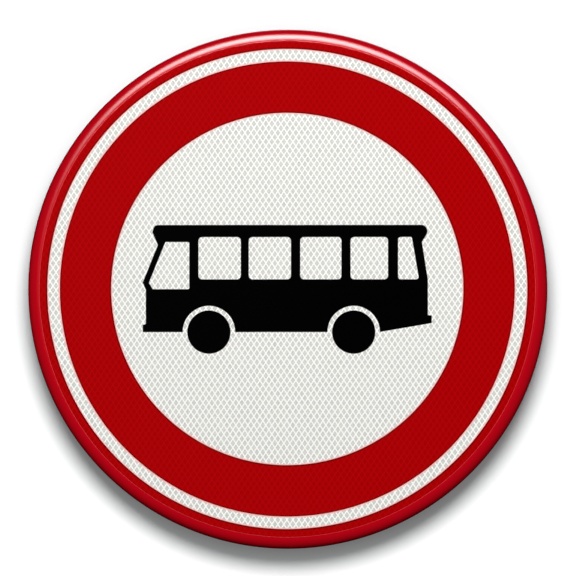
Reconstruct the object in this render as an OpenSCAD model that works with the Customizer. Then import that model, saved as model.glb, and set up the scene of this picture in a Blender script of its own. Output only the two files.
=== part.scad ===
// Round road sign: a folded aluminium pan with retroreflective sheeting,
// coloured overlay films and two rails on the back for pole clamps.
// The face looks along -Y, +X is to its right and +Z is up.
// The origin lies midway between the rails, on the plane that the post touches.

/* [Pan] */
// Outer diameter of the sign
sign_d = 600; // [590:1:700]
// Depth of the rim, from the face to the back of the return flange
rim_deep = 25; // [20:0.5:35]
// Thickness of the aluminium sheet
sheet_t = 1.5; // [1:0.1:2.5]
// Inner radius of the wide bend between face and rim
front_bend_r = 11.5; // [6:0.5:13]
// Inner radius of the tight bend between rim and return flange
back_bend_r = 2; // [1:0.5:4]
// Flat width of the return flange
flange_w = 10.5; // [6:0.5:12]

/* [Sheeting] */
// Bare metal between the edge of the white sheeting and the wide bend
sheeting_gap = 0.3; // [0:0.1:2]
// Thickness of the white sheeting
sheeting_t = 0.5; // [0.3:0.05:0.8]
// Thickness of the coloured overlay films
overlay_t = 0.1; // [0.05:0.05:0.3]
// White edge that shows outside the outer red band
white_edge_w = 0.2; // [0:0.1:2]
// Width of the outer red band
outer_band_w = 9.1; // [5:0.1:12]
// Width of the white ring between the two red ones
white_ring_w = 14.7; // [8:0.1:18]
// Width of the red prohibition ring
red_ring_w = 59.1; // [40:0.1:65]

/* [Rails] */
// Clearance between the rails' corners and the return flange
rail_end_gap = 9; // [5:0.5:60]
// Width of each rail across its slot
rail_w = 36; // [30:1:40]
// Thickness of the rails' metal
rail_t = 2; // [1.5:0.1:3]
// Inner radius of the rails' bends
rail_bend_r = 1.5; // [0.5:0.25:3]
// Width of the slot that takes the bolts' shanks
slot_w = 11; // [9:0.5:14]
// Distance between the slots' centre lines
rail_pitch = 300; // [200:5:400]
// How far the rails stand out behind the return flange
rail_proud = 1.5; // [0:0.5:5]

/* [Bus symbol] */
// Length over the bumpers
bus_l = 333.8; // [300:0.1:344]
// Height of the body from its lower edge to the roof
bus_h = 123.7; // [118:0.1:135]
// How far the body's lower edge lies under the sign's centre
belly_drop = 49.8; // [40:0.1:60]
// How far the front bumper stands out from the body
front_bumper = 3.6; // [1:0.1:6]
// How far the rear bumper stands out from the body
rear_bumper = 4.5; // [1:0.1:7]
// Radius of the wheels
wheel_r = 25; // [20:0.5:30]
// White gap between a wheel and its arch
arch_gap = 5.3; // [3:0.1:8]
// Distance from the front bumper to the front wheel's centre
front_overhang = 76.5; // [60:0.5:90]
// Distance between the wheels' centres
wheel_base = 167.2; // [140:0.5:170]
// Distance from the roof down to the side windows
window_drop = 14; // [8:0.5:20]
// Height of the side windows
window_h = 48.8; // [40:0.1:54]
// Corner radius of the side windows
window_r = 4.3; // [2:0.1:7]
// Distance from the front bumper to the first side window
first_window = 64.4; // [60:0.1:80]
// Distance from the last window's front edge to the rear bumper
last_window_in = 38.9; // [30:0.1:45]

/* [Hidden] */
$fn = 96;

// Heights in front of the post's plane
face_h = rim_deep + rail_proud;
sheeting_h = face_h + sheeting_t;
rail_deep = face_h - sheet_t;

// Radii of the rings on the face
front_bend_out = front_bend_r + sheet_t;
back_bend_out = back_bend_r + sheet_t;
flat_r = sign_d / 2 - front_bend_out;
flange_in_r = sign_d / 2 - back_bend_out - flange_w;
sheeting_r = flat_r - sheeting_gap;
outer_band_r = sheeting_r - white_edge_w;
white_ring_r = outer_band_r - outer_band_w;
red_ring_r = white_ring_r - white_ring_w;
centre_r = red_ring_r - red_ring_w;

// Length at which the rails' corners clear the return flange
rail_far_z = (rail_pitch + rail_w) / 2;
rail_l = 2 * sqrt(pow(flange_in_r - rail_end_gap, 2) - pow(rail_far_z, 2));

// Edges of the bus symbol, X along the bus and Z up
front_x = -bus_l / 2;
rear_x = bus_l / 2;
belly_z = -belly_drop;
roof_z = belly_z + bus_h;
front_wheel_x = front_x + front_overhang;
rear_wheel_x = front_wheel_x + wheel_base;
arch_r = wheel_r + arch_gap;

// How far the body's underside runs on into the rear wheel's arch
arch_lap = 0.5;

// Widths of the four side windows and of the posts behind each of them, in proportion
window_w = [48.9, 48.7, 47.5, 43.2];
post_w = [9.2, 10.8, 10.6, 11.6];
windows_l = bus_l - first_window - last_window_in;
window_fit = windows_l / (sum_to(window_w, 4) + sum_to(post_w, 4));

// Outline of the body, each corner with its rounding: [x, z, radius]
body_outline = [
    [front_x + 13.2, roof_z, 5.5],
    [front_x + 11.2, roof_z - 8.7, 1],
    [front_x + 17.4, roof_z - 23.2, 0],
    [front_x, roof_z - 66.3, 0.8],
    [front_x + front_bumper, roof_z - 75.2, 0],
    [front_x + front_bumper, belly_z + 9.6, 0],
    [front_x, belly_z + 8.1, 0],
    [front_x, belly_z, 0],
    [rear_wheel_x + arch_r - arch_lap, belly_z, 0],
    [rear_x, belly_z + 10.4, 0],
    [rear_x, belly_z + 19, 0],
    [rear_x - rear_bumper, belly_z + 19.6, 0],
    [rear_x - rear_bumper, roof_z - 63, 0],
    [rear_x - 11.4, roof_z - 19.6, 0],
    [rear_x - 5.6, roof_z - 10.6, 2],
    [rear_x - 4, roof_z, 7]
];

// Outline of the driver's window, measured from the nose
cab_window = [
    [front_x + 26.2, roof_z - 19.7, 0.8],
    [front_x + 53.8, roof_z - 19.7, 1.7],
    [front_x + 53.8, roof_z - 74.1, 1.7],
    [front_x + 11.7, roof_z - 74.1, 0.8],
    [front_x + 7.2, roof_z - 66.7, 0]
];

// Outline of the last window, with its slanted rear edge
window_top = roof_z - window_drop;
window_sill = window_top - window_h;
last_window = [
    [rear_x - last_window_in, window_top, 3],
    [rear_x - 23.1, window_top, 2],
    [rear_x - 14.7, window_sill, 3],
    [rear_x - last_window_in, window_sill, 3]
];

aluminium = "silver";
sign_red = [0.67, 0.02, 0.04];
sign_white = [0.91, 0.91, 0.89];
sign_black = [0.02, 0.02, 0.02];

// Sum of the first n numbers in a list
function sum_to(list, n) = n == 0 ? 0 : list[n - 1] + sum_to(list, n - 1);

// Points that round the corner v, which has the points a and b on either side
function corner(a, v, b) =
    let (
        to_a = [a.x - v.x, a.y - v.y] / norm([a.x - v.x, a.y - v.y]),
        to_b = [b.x - v.x, b.y - v.y] / norm([b.x - v.x, b.y - v.y]),
        half = acos(to_a * to_b) / 2,
        middle = (to_a + to_b) / norm(to_a + to_b),
        centre = [v.x, v.y] + middle * v[2] / sin(half),
        turn = 90 - half,
        side = sign(to_b.x * to_a.y - to_b.y * to_a.x),
        steps = ceil(turn / 7)
    )
    v[2] == 0 ? [[v.x, v.y]] : [
        for (i = [-steps:steps])
        let (angle = side * turn * i / steps)
        centre - v[2] * [
            middle.x * cos(angle) - middle.y * sin(angle),
            middle.x * sin(angle) + middle.y * cos(angle)
        ]
    ];

// An outline with each corner rounded by its own radius
function softened(points) = [
    for (i = [0:len(points) - 1])
    let (last = len(points) - 1)
    each corner(points[i == 0 ? last : i - 1], points[i], points[i == last ? 0 : i + 1])
];

// Stands the XY plane upright, so that its Z axis points out of the face
module upright() {
    rotate([90, 0, 0])
        children();
}

// A flat film cut to its children's outline, its back at height h
module film(h, thickness) {
    upright()
        translate([0, 0, h])
            linear_extrude(thickness)
                children();
}

module ring(outer_r, inner_r) {
    difference() {
        circle(outer_r);
        circle(inner_r);
    }
}

// A quarter of a bend in section, about the centre at and towards the signs in side
module bend(at, side, inner_r, thickness) {
    reach = inner_r + thickness;
    translate(at)
        intersection() {
            ring(reach, inner_r);
            quarter(side, reach);
        }
}

// The quarter of the plane that side points to
module quarter(side, reach) {
    translate([side.x < 0 ? -reach : 0, side.y < 0 ? -reach : 0])
        square(reach);
}

// Section of the pan: X is the radius and Y the height in front of the post's plane
module pan_section() {
    wall_r = sign_d / 2 - sheet_t;
    wall_low = rail_proud + back_bend_out;
    wall_high = face_h - front_bend_out;
    flange_r = sign_d / 2 - back_bend_out;
    translate([0, face_h - sheet_t])
        square([flat_r, sheet_t]);
    bend([flat_r, wall_high], [1, 1], front_bend_r, sheet_t);
    translate([wall_r, wall_low])
        square([sheet_t, wall_high - wall_low]);
    bend([flange_r, wall_low], [1, -1], back_bend_r, sheet_t);
    translate([flange_in_r, rail_proud])
        square([flange_w, sheet_t]);
}

// Face, rim and return flange, folded from one sheet
module sign_pan() {
    color(sign_red)
        upright()
            rotate_extrude($fn = 360)
                pan_section();
}

// A rectangle with round corners, centred on X and resting on the X axis
module round_box(width, height, r) {
    difference() {
        translate([-width / 2, 0])
            square([width, height]);
        for (x = [-1, 1], y = [0, 1])
            translate([x * (width / 2 - r), y == 0 ? r : height - r])
                difference() {
                    quarter([x, y == 0 ? -1 : 1], 2 * r);
                    circle(r);
                }
    }
}

// Section of a rail: X is the height on the sign and Y the height off the post's plane
module rail_section() {
    difference() {
        round_box(rail_w, rail_deep, rail_bend_r + rail_t);
        translate([0, rail_t])
            round_box(rail_w - 2 * rail_t, rail_deep - 2 * rail_t, rail_bend_r);
        translate([-slot_w / 2, -rail_t])
            square([slot_w, 3 * rail_t]);
    }
}

// A rail with its slot's centre line at height z
module rail(z) {
    color(aluminium)
        translate([-rail_l / 2, 0, z])
            rotate([90, 0, 90])
                rotate([0, 0, 90])
                    linear_extrude(rail_l)
                        rail_section();
}

module upper_rail() {
    rail(rail_pitch / 2);
}

module lower_rail() {
    rail(-rail_pitch / 2);
}

// White sheeting over the whole flat face
module white_sheeting() {
    color(sign_white)
        film(face_h, sheeting_t)
            circle(sheeting_r, $fn = 360);
}

module outer_red_band() {
    color(sign_red)
        film(sheeting_h, overlay_t)
            ring(outer_band_r, white_ring_r, $fn = 360);
}

module red_ring() {
    color(sign_red)
        film(sheeting_h, overlay_t)
            ring(red_ring_r, centre_r, $fn = 360);
}

// Side window number i, counted from the front
module side_window(i) {
    left = front_x + first_window + window_fit * (sum_to(window_w, i) + sum_to(post_w, i));
    right = left + window_fit * window_w[i];
    polygon(softened([
        [left, window_top, window_r],
        [right, window_top, window_r],
        [right, window_sill, window_r],
        [left, window_sill, window_r]
    ]));
}

// Body of the bus, with its windows and wheel arches cut out
module bus_body() {
    color(sign_black)
        film(sheeting_h, overlay_t)
            difference() {
                polygon(softened(body_outline));
                polygon(softened(cab_window));
                polygon(softened(last_window));
                for (i = [0:len(window_w) - 1])
                    side_window(i);
                for (x = [front_wheel_x, rear_wheel_x])
                    translate([x, belly_z])
                        circle(arch_r);
            }
}

module wheel(x) {
    color(sign_black)
        film(sheeting_h, overlay_t)
            translate([x, belly_z])
                circle(wheel_r);
}

module front_wheel() {
    wheel(front_wheel_x);
}

module rear_wheel() {
    wheel(rear_wheel_x);
}

sign_pan();
upper_rail();
lower_rail();
white_sheeting();
outer_red_band();
red_ring();
bus_body();
front_wheel();
rear_wheel();
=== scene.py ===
"""Round no buses sign: a folded aluminium pan with white sheeting, coloured films and two rails.

Laid out as an add-on and run as a script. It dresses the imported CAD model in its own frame,
in metres: the face looks along -Y, and the post touches the rails in the plane y = 0.
Heights are measured from that plane towards the viewer, so a height h lies at y = -h.
"""
import math

import bmesh
import bpy
from bpy.props import FloatProperty, FloatVectorProperty, IntProperty, PointerProperty
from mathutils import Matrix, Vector


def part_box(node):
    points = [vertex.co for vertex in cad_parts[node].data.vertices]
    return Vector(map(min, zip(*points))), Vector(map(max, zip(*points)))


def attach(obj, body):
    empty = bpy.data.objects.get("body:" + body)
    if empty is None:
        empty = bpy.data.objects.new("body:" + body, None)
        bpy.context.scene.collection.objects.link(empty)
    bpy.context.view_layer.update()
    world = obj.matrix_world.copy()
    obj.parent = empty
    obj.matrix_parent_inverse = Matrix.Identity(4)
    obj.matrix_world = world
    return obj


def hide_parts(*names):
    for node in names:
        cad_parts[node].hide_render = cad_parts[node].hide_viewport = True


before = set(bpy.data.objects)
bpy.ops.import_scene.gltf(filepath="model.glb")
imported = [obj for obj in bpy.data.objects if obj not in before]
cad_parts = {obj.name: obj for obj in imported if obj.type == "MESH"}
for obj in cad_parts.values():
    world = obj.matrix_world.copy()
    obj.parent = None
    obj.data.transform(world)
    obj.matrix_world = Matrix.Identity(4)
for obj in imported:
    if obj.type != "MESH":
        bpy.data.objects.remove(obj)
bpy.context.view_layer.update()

bl_info = {
    "name": "No Buses Sign",
    "version": (1, 0, 0),
    "blender": (4, 5, 0),
    "location": "3D View > Sidebar > No Buses Sign",
    "description": "Builds a round road sign that forbids buses, on its folded pan with two rails",
    "category": "Add Mesh",
}

CAD = {name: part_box(name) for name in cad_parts}


def cad_radius(node):
    """Outer radius of a round CAD node."""
    return round(CAD[node][1].x, 6)


def cad_front(node):
    """Height of a CAD node's front above the post's plane."""
    return round(-CAD[node][0].y, 6)


def length(name, description, default):
    """A size in metres that the panel shows."""
    return FloatProperty(
        name=name, description=description, default=default, min=0, unit="LENGTH", precision=5
    )


def colour(name, description, default):
    """A colour that the panel shows."""
    return FloatVectorProperty(
        name=name, description=description, default=default, subtype="COLOR", size=3, min=0, max=1
    )


class SignSizes(bpy.types.PropertyGroup):
    """Sizes of the sign's pieces."""

    pan_radius: length("Pan radius", "Outer radius of the pan", cad_radius("sign_pan"))
    face_height: length("Face height", "Height of the pan's face", cad_front("sign_pan"))
    flange_height: length(
        "Flange height", "Height of the return flange's back", round(-CAD["sign_pan"][1].y, 6)
    )
    sheet: length("Sheet", "Thickness of the pan's aluminium", 0.0015)
    wide_bend: length("Wide bend", "Outer radius of the bend between face and rim", 0.013)
    tight_bend: length("Tight bend", "Outer radius of the bend between rim and flange", 0.0035)
    flange: length("Flange", "Flat width of the return flange", 0.0105)
    sheeting_radius: length(
        "Sheeting radius", "Radius of the white sheeting", cad_radius("white_sheeting")
    )
    sheeting_front: length(
        "Sheeting front", "Height of the sheeting's front", cad_front("white_sheeting")
    )
    film_front: length("Film front", "Height of the films' front", cad_front("red_ring"))
    band_outer: length("Band outer", "Outer radius of the red band", cad_radius("outer_red_band"))
    band_inner: length("Band inner", "Inner radius of the outer red band", 0.2774)
    ring_outer: length("Ring outer", "Outer radius of the red ring", cad_radius("red_ring"))
    ring_inner: length("Ring inner", "Inner radius of the red ring", 0.2036)
    cell_width: length("Cell width", "Width of the sheeting's diamond cells", 0.006929)
    cell_height: length("Cell height", "Height of the sheeting's diamond cells", 0.010388)
    seam: length("Seam", "Width of the seams between the cells", 0.0014)
    film_edge: length("Film edge", "Width of the dark line along the films' cut edges", 0.0016)
    rail_metal: length("Rail metal", "Thickness of the rails' metal", 0.002)
    rail_bend: length("Rail bend", "Outer radius of the rails' bends", 0.0035)
    slot: length("Slot", "Width of the rails' slot", 0.011)
    weld_pitch: length("Weld pitch", "Distance between the spot welds in a rail", 0.06)
    round_steps: IntProperty(
        name="Round steps", description="Sides of the sign's circles", default=288, min=48
    )


class SignColours(bpy.types.PropertyGroup):
    """Colours of the sign's finishes."""

    paint: colour("Paint", "Red gloss paint of the pan", (0.51, 0.0015, 0.0085))
    red: colour("Red film", "Red overlay film on the cells", (0.38, 0.0002, 0.0008))
    red_seams: colour("Red film on seams", "Red overlay film on the seams", (0.45, 0.0015, 0.0035))
    # Painted highlight along the red band's outer edge
    painted_lit_edge: colour("Lit edge", "Outer edge of the red band, lit by the rim", (1.0, 0.06, 0.08))
    black: colour("Black film", "Black overlay film on the cells", (0.0004, 0.0004, 0.0005))
    black_seams: colour(
        "Black film on seams", "Black overlay film on the seams", (0.0008, 0.0008, 0.0009)
    )
    cells: colour("Cells", "White sheeting between its seams", (0.665, 0.66, 0.627))
    seams: colour("Seams", "Sealed seams of the sheeting", (0.99, 0.99, 0.95))
    # Painted red light, as if the red films threw it on the white beside them
    painted_glow: colour("Glow", "White sheeting beside the red films", (1.0, 0.5, 0.47))
    # Painted highlight along the sheeting's cut edge
    painted_edge_highlight: colour("White edge", "Cut edge of the sheeting, lit by the red", (1.0, 0.08, 0.1))
    pan_metal: colour("Pan metal", "Mill finish inside the pan", (0.78, 0.79, 0.8))
    rail_metal: colour("Rail metal", "Drawn aluminium of the rails", (0.84, 0.85, 0.86))


# Shader nodes


class Signal:
    """The output of a shader node, which arithmetic can be done with."""

    def __init__(self, wiring, socket):
        self.wiring = wiring
        self.socket = socket

    def __getitem__(self, name):
        """Another output of the same node."""
        return Signal(self.wiring, self.socket.node.outputs[name])

    def math(self, operation, *values):
        return self.wiring.node(
            "ShaderNodeMath", {"operation": operation}, dict(enumerate(values))
        )

    def __add__(self, other):
        return self.math("ADD", self, other)

    def __radd__(self, other):
        return self.math("ADD", other, self)

    def __sub__(self, other):
        return self.math("SUBTRACT", self, other)

    def __rsub__(self, other):
        return self.math("SUBTRACT", other, self)

    def __mul__(self, other):
        return self.math("MULTIPLY", self, other)

    def __rmul__(self, other):
        return self.math("MULTIPLY", other, self)

    def __truediv__(self, other):
        return self.math("DIVIDE", self, other)

    def __rtruediv__(self, other):
        return self.math("DIVIDE", other, self)

    def __abs__(self):
        return self.math("ABSOLUTE", self)

    def floor(self):
        return self.math("FLOOR", self)

    def fraction(self):
        return self.math("FRACT", self)

    def larger(self, other):
        return self.math("MAXIMUM", self, other)

    def smaller(self, other):
        return self.math("MINIMUM", self, other)

    def exponential(self):
        return self.math("EXPONENT", self)

    def rising(self, low, high):
        """0 below low and 1 above high, with a smooth rise between them."""
        return self.wiring.node(
            "ShaderNodeMapRange",
            {"interpolation_type": "SMOOTHSTEP"},
            {"Value": self, "From Min": low, "From Max": high},
        )


class Wiring:
    """Adds nodes to one node tree and links them."""

    def __init__(self, tree):
        self.tree = tree

    def node(self, kind, settings=None, inputs=None, output=0):
        """Adds a node: its settings first, then the values or links of its sockets."""
        made = self.tree.nodes.new(kind)
        for name, value in (settings or {}).items():
            setattr(made, name, value)
        for name, value in (inputs or {}).items():
            self.feed(made, name, value)
        return Signal(self, made.outputs[output]) if made.outputs else None

    def feed(self, node, name, value):
        """Gives a socket its value, or its link where the value is a signal."""
        if isinstance(value, Signal):
            self.tree.links.new(value.socket, node.inputs[name])
        else:
            node.inputs[name].default_value = value

    def mix(self, factor, first, second):
        """A colour between two others."""
        return self.node(
            "ShaderNodeMix", {"data_type": "RGBA"}, {0: factor, 6: first, 7: second}, 2
        )


class Finish(Wiring):
    """A procedural material: one Principled surface and the nodes that vary it."""

    def __init__(self, name, roughness, metallic=0.0):
        self.material = bpy.data.materials.new(name)
        self.material.use_nodes = True
        super().__init__(self.material.node_tree)
        self.surface = self.tree.nodes["Principled BSDF"]
        self.set("Roughness", roughness)
        self.set("Metallic", metallic)
        self.place = self.node("ShaderNodeTexCoord", output="Object")

    def set(self, name, value):
        self.feed(self.surface, name, value)

    def radius(self):
        """Distance from the axis through the sign's centre."""
        flat = self.node(
            "ShaderNodeVectorMath", {"operation": "MULTIPLY"}, {0: self.place, 1: (1, 0, 1)}
        )
        return self.node("ShaderNodeVectorMath", {"operation": "LENGTH"}, {0: flat}, "Value")

    def noise(self, scale, detail=2, stretch=(1, 1, 1)):
        """Soft noise from 0 to 1, finer along the axes with a larger stretch."""
        mapped = self.node("ShaderNodeMapping", inputs={"Vector": self.place, "Scale": stretch})
        return self.node(
            "ShaderNodeTexNoise",
            inputs={"Vector": mapped, "Scale": scale, "Detail": detail, "Roughness": 0.5},
        )

    def bump(self, height, distance, strength):
        """Tilts the shading as if the surface rose by height times distance, in metres."""
        self.set(
            "Normal",
            self.node(
                "ShaderNodeBump",
                inputs={"Height": height, "Distance": distance, "Strength": strength},
            ),
        )


def rgba(value, level=1.0):
    """A colour with its alpha, brightened by level."""
    return (*(min(1.0, channel * level) for channel in value), 1.0)


# Each family of seams: which way it slants, and its shift from the sign's centre in cells
SEAM_PHASES = ((1, 0.3065), (-1, -0.411))

# Distances from an edge between which a finish changes, in metres
PAINTED_GLOW_ENDS = (0.0006, 0.0026)
CUT_LINE_ENDS = (0.0002, 0.0004)
SHEETING_EDGE_ENDS = (0.0009, 0.0008)
# Width of the painted highlight along the red band's outer edge
LIT_EDGE = 0.0003


def seam_spacing(sizes):
    """Distance between two seams that run the same way."""
    return 1 / math.hypot(1 / sizes.cell_width, 1 / sizes.cell_height)


def lattice(finish, sizes):
    """The cells' two slanting coordinates: each is whole on a seam."""
    place = finish.node("ShaderNodeSeparateXYZ", inputs={"Vector": finish.place})
    across = place["X"] / sizes.cell_width
    up = place["Z"] / sizes.cell_height
    return [across + side * up - phase for side, phase in SEAM_PHASES]


def seam_mask(finish, sizes):
    """1 on the seams and 0 in the cells."""
    spacing = seam_spacing(sizes)
    away = [abs((slant + 0.5).fraction() - 0.5) * spacing for slant in lattice(finish, sizes)]
    lines = [1 - distance.rising(0.3 * sizes.seam, 0.7 * sizes.seam) for distance in away]
    return lines[0].larger(lines[1])


def from_circles(finish, *radii):
    """Distance from the nearest of some circles round the axis."""
    radius = finish.radius()
    away = abs(radius - radii[0])
    for other in radii[1:]:
        away = away.smaller(abs(radius - other))
    return away


def film_edges(finish, sizes, near, far):
    """1 along the edges where red film meets white, and 0 beyond the distance far from them."""
    away = from_circles(finish, sizes.band_inner, sizes.ring_inner, sizes.ring_outer)
    return 1 - away.rising(near, far)


def beside_films(finish, sizes, colours, white):
    """White with a painted red glow beside the red films, and the line of their inner cut edges.
    """
    # Painted red glow on the white next to the red films' edges
    painted_glow = film_edges(finish, sizes, *PAINTED_GLOW_ENDS) * 0.9
    painted_pink = finish.mix(painted_glow, white, rgba(colours.painted_glow))
    line = 1 - from_circles(finish, sizes.band_inner, sizes.ring_inner).rising(*CUT_LINE_ENDS)
    return finish.mix(line, painted_pink, rgba(colours.red, 0.5))


def red_paint(colours):
    """Gloss stoving paint with a faint orange peel."""
    finish = Finish("red_paint", 0.12)
    peel = finish.noise(260, detail=1)
    tone = finish.noise(9)
    paint = finish.mix(tone, rgba(colours.paint, 0.97), rgba(colours.paint, 1.03))
    finish.set("Base Color", paint)
    finish.set("Roughness", 0.1 + peel * 0.05)
    finish.set("Specular IOR Level", 0.35)
    finish.bump(peel, distance=0.00002, strength=0.35)
    return finish.material


def drawn_aluminium(name, tint, roughness, sheen):
    """Bare aluminium with the fine lines of rolling, which run across the sign.

    The roughness varies by sheen from one line to the next.
    """
    finish = Finish(name, roughness, metallic=1)
    lines = finish.noise(1, detail=3, stretch=(14, 900, 900))
    clouds = finish.noise(7, detail=3, stretch=(1, 1, 2.5))
    shade = lines * 0.6 + clouds * 0.4
    finish.set("Base Color", finish.mix(shade, rgba(tint, 0.86), rgba(tint, 1.1)))
    finish.set("Roughness", roughness - 0.5 * sheen + lines * sheen)
    finish.bump(lines, distance=0.00001, strength=0.5)
    return finish.material


def sheeting_cells(sizes, colours):
    """White sheeting inside its cells, where fine prisms stand under the clear skin."""
    finish = Finish("white_sheeting_cells", 0.24)
    slants = lattice(finish, sizes)
    # The middle of a cell is a little brighter, and each cell has a tone of its own
    off_middle = [abs(slant.fraction() - 0.5) for slant in slants]
    spot = 1 - off_middle[0].larger(off_middle[1]).rising(0.02, 0.2)
    cell = finish.node(
        "ShaderNodeCombineXYZ", inputs={"X": slants[0].floor(), "Y": slants[1].floor()}
    )
    chance = finish.node("ShaderNodeTexWhiteNoise", {"noise_dimensions": "3D"}, {"Vector": cell})
    prisms = finish.noise(750, detail=1)
    shade = chance * 0.15 + prisms * 1.7 - 0.4 - spot * 0.15
    white = finish.mix(shade, rgba(colours.cells, 1.18), rgba(colours.cells, 0.79))
    white = beside_films(finish, sizes, colours, white)
    # Painted highlight along the sheeting's cut edge, paler on the seams and darker in the cells
    ends = [sizes.sheeting_radius - inset for inset in SHEETING_EDGE_ENDS]
    painted_highlight_dim, painted_highlight_bright = rgba(colours.painted_edge_highlight, 0.8), rgba(colours.painted_edge_highlight, 1.2)
    cut = finish.mix(seam_mask(finish, sizes), painted_highlight_dim, painted_highlight_bright)
    finish.set("Base Color", finish.mix(finish.radius().rising(*ends), white, cut))
    finish.bump(prisms, distance=0.00002, strength=0.3)
    return finish.material


def sheeting_seams(sizes, colours):
    """The sealed seams, where the skin is pressed on the white backing."""
    finish = Finish("white_sheeting_seams", 0.26)
    grain = finish.noise(500)
    white = finish.mix(grain, rgba(colours.seams, 0.98), rgba(colours.seams, 1.02))
    finish.set("Base Color", beside_films(finish, sizes, colours, white))
    finish.bump(grain, distance=0.00001, strength=0.3)
    return finish.material


def overlay_film(name, tint, seam_tint, sizes, painted_lit_edge=None):
    """Transparent coloured film over the seams.

    With the colour of a painted highlight, as on the red films, it is also darker along its
    cut edges, and has that painted highlight along the outer edge of the red band.
    """
    finish = Finish(name, 0.045)
    relief = seam_mask(finish, sizes) * 0.8 + finish.noise(30) * 0.2
    film = finish.mix(relief, rgba(tint), rgba(seam_tint))
    if painted_lit_edge is not None:
        line = film_edges(finish, sizes, 0.4 * sizes.film_edge, 1.3 * sizes.film_edge)
        film = finish.mix(line * 0.7, film, rgba(tint, 0.15))
        # Painted highlight along the outer edge of the red band
        lit = finish.radius().rising(sizes.band_outer - LIT_EDGE, sizes.band_outer)
        film = finish.mix(lit, film, rgba(painted_lit_edge))
    finish.set("Base Color", film)
    finish.set("Specular IOR Level", 0.12)
    finish.bump(relief, distance=0.00002, strength=0.15)
    return finish.material


# Modelling by hand


def start_piece():
    """Leaves everything deselected, so that the next primitive is shaped alone."""
    if bpy.context.object and bpy.context.object.mode != "OBJECT":
        bpy.ops.object.mode_set(mode="OBJECT")
    bpy.ops.object.select_all(action="DESELECT")


def pick(piece):
    """Makes one object the active one and the only one selected."""
    start_piece()
    piece.select_set(True)
    bpy.context.view_layer.objects.active = piece


def edit(piece, part):
    """Goes into edit mode, to work on its vertices, edges or faces."""
    bpy.context.view_layer.objects.active = piece
    if piece.mode != "EDIT":
        bpy.ops.object.mode_set(mode="EDIT")
    bpy.ops.mesh.select_mode(type=part)


def select_whole(piece, part):
    """Selects in edit mode all of the vertices, edges or faces."""
    edit(piece, part)
    bpy.ops.mesh.select_all(action="SELECT")


def select_where(piece, part, wanted):
    """Selects in edit mode the vertices, edges or faces that pass a test, and no others."""
    edit(piece, {"verts": "VERT", "edges": "EDGE", "faces": "FACE"}[part])
    bpy.ops.mesh.select_all(action="DESELECT")
    shape = bmesh.from_edit_mesh(piece.data)
    for element in list(getattr(shape, part)):
        if wanted(element):
            element.select_set(True)
    bmesh.update_edit_mesh(piece.data)


def extrude(move):
    """Extrudes what is selected in edit mode."""
    bpy.ops.mesh.extrude_region_move(TRANSFORM_OT_translate={"value": move})


def thicken(piece, thickness):
    """Extrudes a flat piece towards the viewer."""
    select_whole(piece, "FACE")
    extrude((0, -thickness, 0))


def close_up(piece):
    """Merges doubles and turns all faces outwards."""
    select_whole(piece, "VERT")
    bpy.ops.mesh.remove_doubles(threshold=1e-7)
    bpy.ops.mesh.normals_make_consistent(inside=False)
    bpy.ops.object.mode_set(mode="OBJECT")


def apply_modifier(piece, kind, **settings):
    """Adds a modifier, sets it and applies it."""
    bpy.context.view_layer.objects.active = piece
    modifier = piece.modifiers.new(kind.title(), kind)
    for name, value in settings.items():
        setattr(modifier, name, value)
    bpy.ops.object.modifier_apply(modifier=modifier.name)


def round_edges(piece, width, segments=2):
    """Bevels the sharp edges."""
    apply_modifier(
        piece, "BEVEL", width=width, segments=segments, limit_method="ANGLE",
        angle_limit=math.radians(60),
    )


def repeat(piece, count, pitch):
    """Copies a piece in a row to its right."""
    apply_modifier(
        piece, "ARRAY", count=count, use_relative_offset=False, use_constant_offset=True,
        constant_offset_displace=(pitch, 0, 0),
    )


def fix_place():
    """Puts the selected object's place, turn and scale into its mesh."""
    bpy.ops.object.transform_apply(location=True, rotation=True, scale=True)


def settle(piece, smooth_angle=35):
    """Puts the object at the origin, unturned, and smooths all but its sharp edges."""
    pick(piece)
    fix_place()
    bpy.ops.object.shade_smooth_by_angle(angle=math.radians(smooth_angle))
    start_piece()


def finish_piece(piece, name, materials, replaced=()):
    """Names a piece, gives it its materials and hands it to the frame."""
    piece.name = name
    piece.data.name = name
    for material in materials:
        piece.data.materials.append(material)
    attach(piece, "root")
    if replaced:
        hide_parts(*replaced)


def copy_piece(piece, move):
    """A copy with its own mesh, moved."""
    pick(piece)
    bpy.ops.object.duplicate(linked=False)
    copy = bpy.context.object
    bpy.ops.transform.translate(value=move)
    settle(copy)
    return copy


def join_pieces(pieces):
    """Joins several pieces into the first one."""
    start_piece()
    for piece in pieces:
        piece.select_set(True)
    bpy.context.view_layer.objects.active = pieces[0]
    bpy.ops.object.join()
    return pieces[0]


def add_circle(radius, height, steps, fill):
    """A circle that faces the viewer, at a height in front of the post's plane."""
    start_piece()
    bpy.ops.mesh.primitive_circle_add(
        vertices=steps,
        radius=radius,
        fill_type=fill,
        location=(0, -height, 0),
        rotation=(math.radians(90), 0, 0),
    )
    fix_place()
    return bpy.context.object


def add_rectangle(width, height, place):
    """A rectangle that faces the viewer."""
    start_piece()
    bpy.ops.mesh.primitive_plane_add(size=1, location=place, rotation=(math.radians(90), 0, 0))
    piece = bpy.context.object
    piece.scale = (width, height, 1)
    fix_place()
    return piece


def draw_rings(radius, height, rings):
    """Extrudes the selected ring of edges through others, each with its radius and height."""
    for next_radius, next_height in rings:
        extrude((0, height - next_height, 0))
        bpy.ops.transform.resize(
            value=(next_radius / radius, 1, next_radius / radius), center_override=(0, 0, 0)
        )
        radius, height = next_radius, next_height


def bend(centre, radius, start, end, steps):
    """Rings of a bend seen in section, from angle to angle: 0 points outwards, 90 to the front."""
    angles = [math.radians(start + (end - start) * i / steps) for i in range(1, steps + 1)]
    return [
        (centre[0] + radius * math.cos(angle), centre[1] + radius * math.sin(angle))
        for angle in angles
    ]


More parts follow.
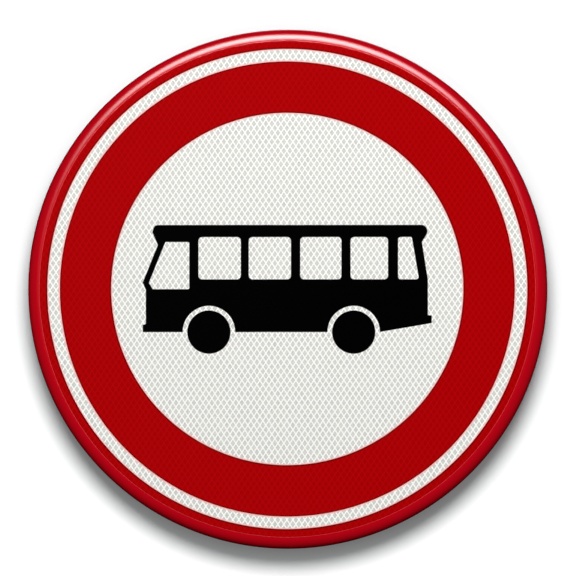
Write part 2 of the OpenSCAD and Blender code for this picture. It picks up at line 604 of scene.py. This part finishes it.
def film_ring(outer, inner, back, front, steps):
    """A flat ring of film with its thickness."""
    piece = add_circle(outer, back, steps, "NOTHING")
    select_whole(piece, "EDGE")
    draw_rings(outer, back, [(inner, back)])
    thicken(piece, front - back)
    close_up(piece)
    round_edges(piece, 0.25 * (front - back), segments=1)
    settle(piece)
    return piece


# The operators, one for each piece or group of like pieces


class SignOperator:
    """What all of the sign's operators share."""

    bl_options = {"REGISTER", "UNDO"}

    @property
    def sizes(self):
        return bpy.context.scene.no_buses_sizes

    @property
    def colours(self):
        return bpy.context.scene.no_buses_colours


class NOBUSES_OT_folded_pan(SignOperator, bpy.types.Operator):
    """Folds the aluminium pan: face, wide bend, rim, tight bend and return flange"""

    bl_idname = "no_buses.folded_pan"
    bl_label = "Folded Pan"

    wide_steps = 22
    tight_steps = 8
    # A narrow ring of faces round the flat face, which keeps its shading flat
    face_ring = 0.0015
    edge_round = 0.0002

    def execute(self, context):
        sizes = self.sizes
        flat = sizes.pan_radius - sizes.wide_bend
        piece = add_circle(flat, sizes.face_height, sizes.round_steps, "NGON")
        select_where(piece, "edges", lambda edge: edge.is_boundary)
        wide = (flat, sizes.face_height - sizes.wide_bend)
        tight = (sizes.pan_radius - sizes.tight_bend, sizes.flange_height + sizes.tight_bend)
        rings = bend(wide, sizes.wide_bend, 90, 0, self.wide_steps)
        rings.append((sizes.pan_radius, tight[1]))
        rings += bend(tight, sizes.tight_bend, 0, -90, self.tight_steps)
        rings.append((tight[0] - sizes.flange, sizes.flange_height))
        draw_rings(flat, sizes.face_height, rings)
        select_where(piece, "faces", lambda face: len(face.verts) > 4)
        bpy.ops.mesh.inset(thickness=self.face_ring)
        close_up(piece)
        metal = self.colours.pan_metal
        piece.data.materials.append(red_paint(self.colours))
        piece.data.materials.append(drawn_aluminium("pan_aluminium", metal, 0.6, sheen=0.12))
        apply_modifier(
            piece, "SOLIDIFY", thickness=sizes.sheet, offset=-1, use_even_offset=True,
            use_rim=True, material_offset=1, material_offset_rim=1,
        )
        round_edges(piece, self.edge_round)
        settle(piece)
        finish_piece(piece, "folded_pan", [], ["sign_pan"])
        return {"FINISHED"}


class NOBUSES_OT_white_sheeting(SignOperator, bpy.types.Operator):
    """Lays the white sheeting on the face, with the sealed seams between its cells"""

    bl_idname = "no_buses.white_sheeting"
    bl_label = "White Sheeting"

    face_ring = 0.0005
    edge_round = 0.0001
    # The seams start inside the sheeting, and the second family stands a little higher
    seam_sunk = 0.0001
    seam_rise = 0.00004
    rise_step = 0.00001
    # Free edge of the sheeting outside the seams
    seam_margin = 0.001
    # The disc that trims the seams starts behind them and ends in front of them
    trim_start = 0.001
    trim_depth = 0.003

    def execute(self, context):
        self.lay_sheet()
        self.seal_seams()
        return {"FINISHED"}

    def lay_sheet(self):
        sizes = self.sizes
        piece = add_circle(sizes.sheeting_radius, sizes.face_height, sizes.round_steps, "NGON")
        thicken(piece, sizes.sheeting_front - sizes.face_height)
        bpy.ops.mesh.inset(thickness=self.face_ring)
        close_up(piece)
        round_edges(piece, self.edge_round)
        settle(piece)
        cells = sheeting_cells(sizes, self.colours)
        finish_piece(piece, "sheeting_cells", [cells], ["white_sheeting"])

    def seal_seams(self):
        families = [
            self.seam_family(side, phase, self.seam_rise + self.rise_step * number)
            for number, (side, phase) in enumerate(SEAM_PHASES)
        ]
        piece = join_pieces(families)
        settle(piece)
        seams = sheeting_seams(self.sizes, self.colours)
        finish_piece(piece, "sheeting_seams", [seams])

    def seam_family(self, side, phase, rise):
        """All the seams that slant one way, trimmed to the sheeting."""
        sizes = self.sizes
        reach = sizes.sheeting_radius - self.seam_margin
        spacing = seam_spacing(sizes)
        back = sizes.sheeting_front - self.seam_sunk
        turn = math.atan2(side / sizes.cell_height, 1 / sizes.cell_width)
        count = 2 * math.ceil(reach / spacing) + 1
        first = (phase - (count - 1) / 2) * spacing
        seams = add_rectangle(sizes.seam, 2 * reach, (first, -back, 0))
        thicken(seams, self.seam_sunk + rise)
        close_up(seams)
        repeat(seams, count, spacing)
        seams.rotation_euler = (0, -turn, 0)
        pick(seams)
        fix_place()
        trimmer = add_circle(reach, back - self.trim_start, sizes.round_steps, "NGON")
        thicken(trimmer, self.trim_depth)
        close_up(trimmer)
        apply_modifier(seams, "BOOLEAN", object=trimmer, operation="INTERSECT", solver="EXACT")
        bpy.data.objects.remove(trimmer)
        return seams


class NOBUSES_OT_red_films(SignOperator, bpy.types.Operator):
    """Cuts the outer red band and the red ring from overlay film"""

    bl_idname = "no_buses.red_films"
    bl_label = "Red Films"

    def execute(self, context):
        sizes, colours = self.sizes, self.colours
        film = overlay_film("red_film", colours.red, colours.red_seams, sizes, colours.painted_lit_edge)
        back, front = sizes.sheeting_front, sizes.film_front
        band = film_ring(sizes.band_outer, sizes.band_inner, back, front, sizes.round_steps)
        finish_piece(band, "outer_band_film", [film], ["outer_red_band"])
        ring = film_ring(sizes.ring_outer, sizes.ring_inner, back, front, sizes.round_steps)
        finish_piece(ring, "prohibition_ring_film", [film], ["red_ring"])
        return {"FINISHED"}


class NOBUSES_OT_black_films(SignOperator, bpy.types.Operator):
    """Gives the bus symbol's CAD films their black material"""

    bl_idname = "no_buses.black_films"
    bl_label = "Black Films"

    def execute(self, context):
        colours = self.colours
        film = overlay_film("black_film", colours.black, colours.black_seams, self.sizes)
        for name in ("bus_body", "front_wheel", "rear_wheel"):
            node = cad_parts[name]
            if not node.material_slots:
                node.data.materials.append(film)
            for place in node.material_slots:
                place.material = film
        return {"FINISHED"}


class NOBUSES_OT_rails(SignOperator, bpy.types.Operator):
    """Folds the two slotted rails and sets their spot welds"""

    bl_idname = "no_buses.rails"
    bl_label = "Rails"

    bend_steps = 7
    edge_round = 0.00025
    weld_radius = 0.0034
    weld_steps = 24
    # Radius and rise of a weld's raised ring and of the hollow inside it
    weld_rings = ((0.0029, 0.00022), (0.0025, 0.00026), (0.002, 0.00018), (0.0013, 0.00005))
    # Length of a rail that stays without welds, at its two ends together
    weld_free = 0.03

    def execute(self, context):
        low, high = CAD["upper_rail"]
        middle = (low.z + high.z) / 2
        drop = (0, 0, (CAD["lower_rail"][0].z + CAD["lower_rail"][1].z) / 2 - middle)
        metal = drawn_aluminium("rail_aluminium", self.colours.rail_metal, 0.52, sheen=0.14)
        upper = self.fold_rail(low, high)
        lower = copy_piece(upper, drop)
        finish_piece(upper, "upper_slotted_rail", [metal], ["upper_rail"])
        finish_piece(lower, "lower_slotted_rail", [metal], ["lower_rail"])
        weld = drawn_aluminium("weld_aluminium", self.colours.pan_metal, 0.5, sheen=0.1)
        upper_welds = self.weld_row(low, high, middle)
        lower_welds = copy_piece(upper_welds, drop)
        finish_piece(upper_welds, "upper_rail_welds", [weld])
        finish_piece(lower_welds, "lower_rail_welds", [weld])
        return {"FINISHED"}

    def fold_rail(self, low, high):
        """The floor on the pan, two walls and two lips beside the slot, folded and thickened."""
        sizes = self.sizes
        lip = (high.z - low.z - sizes.slot) / 2
        deep = high.y - low.y
        middle = ((low.x + high.x) / 2, low.y, (low.z + high.z) / 2)
        rail = add_rectangle(high.x - low.x, high.z - low.z, middle)
        for edge_z, inwards in ((low.z, 1), (high.z, -1)):
            select_where(
                rail,
                "edges",
                lambda edge: all(abs(v.co.z - edge_z) < 1e-5 for v in edge.verts),
            )
            extrude((0, deep, 0))
            extrude((0, 0, inwards * lip))
        select_where(
            rail,
            "edges",
            lambda edge: len(edge.link_faces) == 2 and edge.calc_face_angle() > 1,
        )
        bpy.ops.mesh.bevel(offset=sizes.rail_bend, segments=self.bend_steps, affect="EDGES")
        close_up(rail)
        self.face_out(rail)
        apply_modifier(
            rail, "SOLIDIFY", thickness=sizes.rail_metal, offset=-1, use_even_offset=True,
            use_rim=True,
        )
        round_edges(rail, self.edge_round)
        settle(rail)
        return rail

    @staticmethod
    def face_out(rail):
        """Turns an open shell over if the floor faces into the channel."""
        floor = max(rail.data.polygons, key=lambda face: face.area)
        if floor.normal.y > 0:
            select_whole(rail, "FACE")
            bpy.ops.mesh.flip_normals()
            bpy.ops.object.mode_set(mode="OBJECT")

    def weld_row(self, low, high, middle):
        """Spot welds in a row on the channel's floor, one modelled and the rest copied."""
        sizes = self.sizes
        floor = -low.y - sizes.rail_metal
        weld = add_circle(self.weld_radius, floor, self.weld_steps, "NGON")
        select_where(weld, "edges", lambda edge: edge.is_boundary)
        rings = [(radius, floor - rise) for radius, rise in self.weld_rings]
        draw_rings(self.weld_radius, floor, rings)
        bpy.ops.mesh.edge_face_add()
        close_up(weld)
        count = int((high.x - low.x - self.weld_free) / sizes.weld_pitch) + 1
        pick(weld)
        bpy.ops.transform.translate(value=(-(count - 1) / 2 * sizes.weld_pitch, 0, middle))
        repeat(weld, count, sizes.weld_pitch)
        settle(weld)
        return weld


class NOBUSES_OT_stage(SignOperator, bpy.types.Operator):
    """Sets up the pale floor and backdrop, the lamps, the world and the camera"""

    bl_idname = "no_buses.stage"
    bl_label = "Stage"

    # Places, in metres
    floor_height = -0.41
    backdrop_back = 0.0355
    # Directions, in degrees to the right of the sign's front and upwards
    view_turn = 1.9
    view_up = -0.7
    key_up = 21.1
    # What the camera sees, in metres: the middle of the picture and its longer side
    view_centre = Vector((-0.0008, -0.0095, 0.0013))
    view_side = 0.6656

    def execute(self, context):
        self.lay_backdrop()
        self.hang_lamps()
        self.paint_world(context.scene)
        self.place_camera(context.scene)
        context.scene.view_settings.view_transform = "Standard"
        return {"FINISHED"}

    def lay_backdrop(self):
        """A wall panel close behind the sign and a wide floor."""
        wall = self.panel("backdrop", (1, -2 * self.floor_height), (0, self.backdrop_back, 0), 90)
        # Painted shade and light: right round the rim the wall's lift stays low, which deepens the
        # shadow, and it is less red, which offsets the red the sign throws
        wall.data.materials.append(
            self.backdrop_white(
                "backdrop_white", white=0.81, red=0.78, lift=(0.125, 0.38),
                reach=(0.297, 0.345), one_sided=True,
            )
        )
        floor = self.panel("floor", (16, 16), (0, 0, self.floor_height), 0)
        floor.data.materials.append(
            self.backdrop_white("floor_white", white=0.9, red=1, lift=(0.36, 1), reach=(0.7, 2.5))
        )
        for panel in (wall, floor):
            for ray in ("diffuse", "glossy", "transmission", "shadow"):
                setattr(panel, "visible_" + ray, False)

    @staticmethod
    def panel(name, size, place, tilt):
        """A flat stage panel."""
        start_piece()
        bpy.ops.mesh.primitive_plane_add(
            size=1, location=place, rotation=(math.radians(tilt), 0, 0)
        )
        made = bpy.context.object
        made.scale = (*size, 1)
        made.name = name
        return made

    @staticmethod
    def backdrop_white(name, white, red, lift, reach, one_sided=False):
        """White that keeps shadows, lifted for the camera with the distance from the sign.

        The lift rises over the reach from its first value to its second, so the white is
        painted darker near the sign: painted shade. Near the sign it has only the given share of
        red, painted light against the red that the sign throws there.
        """
        material = bpy.data.materials.new(name)
        material.use_nodes = True
        wiring = Wiring(material.node_tree)
        wiring.tree.nodes.clear()
        path = wiring.node("ShaderNodeLightPath")
        here = wiring.node("ShaderNodeNewGeometry")
        away = wiring.node("ShaderNodeVectorMath", {"operation": "LENGTH"}, {0: here}, "Value")
        far = away.rising(*reach)
        level = lift[0] + far * (lift[1] - lift[0])
        seen = path["Is Camera Ray"].larger(path["Is Transmission Ray"])
        matt = wiring.node("ShaderNodeBsdfDiffuse", inputs={"Color": rgba((white, white, white))})
        tint = wiring.mix(far, rgba((red, 1, 1)), rgba((1, 1, 1)))
        painted_glow = wiring.node("ShaderNodeEmission", inputs={"Color": tint, "Strength": seen * level})
        surface = wiring.node("ShaderNodeAddShader", inputs={0: matt, 1: painted_glow})
        if one_sided:
            clear = wiring.node("ShaderNodeBsdfTransparent")
            surface = wiring.node(
                "ShaderNodeMixShader", inputs={0: here["Backfacing"], 1: surface, 2: clear}
            )
        wiring.node("ShaderNodeOutputMaterial", inputs={"Surface": surface})
        return material

    def hang_lamps(self):
        """A broad key lamp high in front and a soft fill behind."""
        self.lamp(
            "key_lamp", direction=(self.view_turn, self.key_up), distance=4, size=(1.82, 1.58),
            level=1.03,
        )
        self.lamp("back_fill", direction=(180, 32), distance=3.5, size=(2.2, 2.2), level=0.7)

    @staticmethod
    def towards(turn, up):
        """The direction turned to the right of the sign's front and raised, in degrees."""
        turn, up = math.radians(turn), math.radians(up)
        return Vector(
            (math.sin(turn) * math.cos(up), -math.cos(turn) * math.cos(up), math.sin(up))
        )

    def lamp(self, name, direction, distance, size, level):
        """An oval lamp that points at the sign; a white that faces it is as bright as level."""
        away = self.towards(*direction)
        start_piece()
        bpy.ops.object.light_add(
            type="AREA",
            location=away * distance,
            rotation=away.to_track_quat("Z", "Y").to_euler(),
        )
        made = bpy.context.object
        made.name = name
        made.data.shape = "ELLIPSE"
        made.data.size, made.data.size_y = size
        made.data.energy = level * (math.pi * distance) ** 2
        made.visible_camera = False
        made.visible_glossy = False

    def paint_world(self, scene):
        """Low even light, white for the camera, and soft boxes that only gloss shows."""
        key_box_up, key_box_level, key_box_core, key_box_spread = 37, 35, 61, 7.4
        back_box_up, back_box_level, back_box_spread = 12, 1.8, 4
        even_level, side_level = 0.045, 0.3
        # The key box fades out round the line straight ahead, so the flat face doesn't mirror it
        fade = 0.014
        world = bpy.data.worlds.new("pale_studio")
        world.use_nodes = True
        scene.world = world
        wiring = Wiring(world.node_tree)
        wiring.tree.nodes.clear()
        path = wiring.node("ShaderNodeLightPath")
        look = wiring.node("ShaderNodeTexCoord", output="Generated")
        along = wiring.node("ShaderNodeSeparateXYZ", inputs={"Vector": look})

        def away_from(*direction):
            """1 less the cosine of the angle from a direction."""
            return 1 - wiring.node(
                "ShaderNodeVectorMath",
                {"operation": "DOT_PRODUCT"},
                {0: look, 1: self.towards(*direction)},
                "Value",
            )

        off_key = away_from(-self.view_turn, key_box_up)
        fall = off_key * (off_key * key_box_core + key_box_spread)
        key_box = key_box_level * (0 - fall).exponential()
        off_back = away_from(180, back_box_up)
        back_box = back_box_level * (off_back * -back_box_spread).exponential()
        off_axis = along["Y"] + 1
        side = abs(along["X"]).rising(0.7, 1)
        direct = 1 - path["Diffuse Depth"].smaller(1)
        from_behind = path["Transparent Depth"].smaller(1)
        gloss = path["Is Glossy Ray"] * direct
        clear = path["Is Camera Ray"].larger(path["Is Transmission Ray"])
        even = (1 - path["Is Glossy Ray"]) * (even_level + side_level * side) * (1 - clear)
        boxes = key_box * off_axis / (off_axis + fade) + back_box * from_behind
        light = wiring.node(
            "ShaderNodeBackground",
            inputs={"Color": rgba((1, 1, 1)), "Strength": even + clear + gloss * boxes},
        )
        wiring.node("ShaderNodeOutputWorld", inputs={"Surface": light})

    def place_camera(self, scene):
        """The photograph's view: nearly straight at the face, through a long lens."""
        start_piece()
        away = self.towards(self.view_turn, self.view_up)
        bpy.ops.object.camera_add(rotation=away.to_track_quat("Z", "Y").to_euler())
        camera = bpy.context.object
        camera.data.sensor_fit = "AUTO"
        camera.data.sensor_width = 36
        camera.data.lens = 800
        distance = self.view_side * camera.data.lens / camera.data.sensor_width
        camera.location = self.view_centre + away * distance
        scene.camera = camera


class NOBUSES_PT_sidebar(bpy.types.Panel):
    """Lists the sign's sizes, colours and operators"""

    bl_idname = "NOBUSES_PT_sidebar"
    bl_label = "No Buses Sign"
    bl_space_type = "VIEW_3D"
    bl_region_type = "UI"
    bl_category = "No Buses Sign"

    def draw(self, context):
        layout = self.layout
        for operator in OPERATORS:
            layout.operator(operator.bl_idname)
        for group in (context.scene.no_buses_sizes, context.scene.no_buses_colours):
            box = layout.box()
            for name in group.__annotations__:
                box.prop(group, name)


OPERATORS = (
    NOBUSES_OT_folded_pan,
    NOBUSES_OT_white_sheeting,
    NOBUSES_OT_red_films,
    NOBUSES_OT_black_films,
    NOBUSES_OT_rails,
    NOBUSES_OT_stage,
)
CLASSES = (SignSizes, SignColours, *OPERATORS, NOBUSES_PT_sidebar)


def register():
    for made in CLASSES:
        bpy.utils.register_class(made)
    bpy.types.Scene.no_buses_sizes = PointerProperty(type=SignSizes)
    bpy.types.Scene.no_buses_colours = PointerProperty(type=SignColours)


def unregister():
    del bpy.types.Scene.no_buses_colours
    del bpy.types.Scene.no_buses_sizes
    for made in reversed(CLASSES):
        bpy.utils.unregister_class(made)


def main():
    """Builds the sign on its stage."""
    register()
    bpy.ops.no_buses.folded_pan()
    bpy.ops.no_buses.white_sheeting()
    bpy.ops.no_buses.red_films()
    bpy.ops.no_buses.black_films()
    bpy.ops.no_buses.rails()
    bpy.ops.no_buses.stage()


if __name__ == "__main__":
    main()
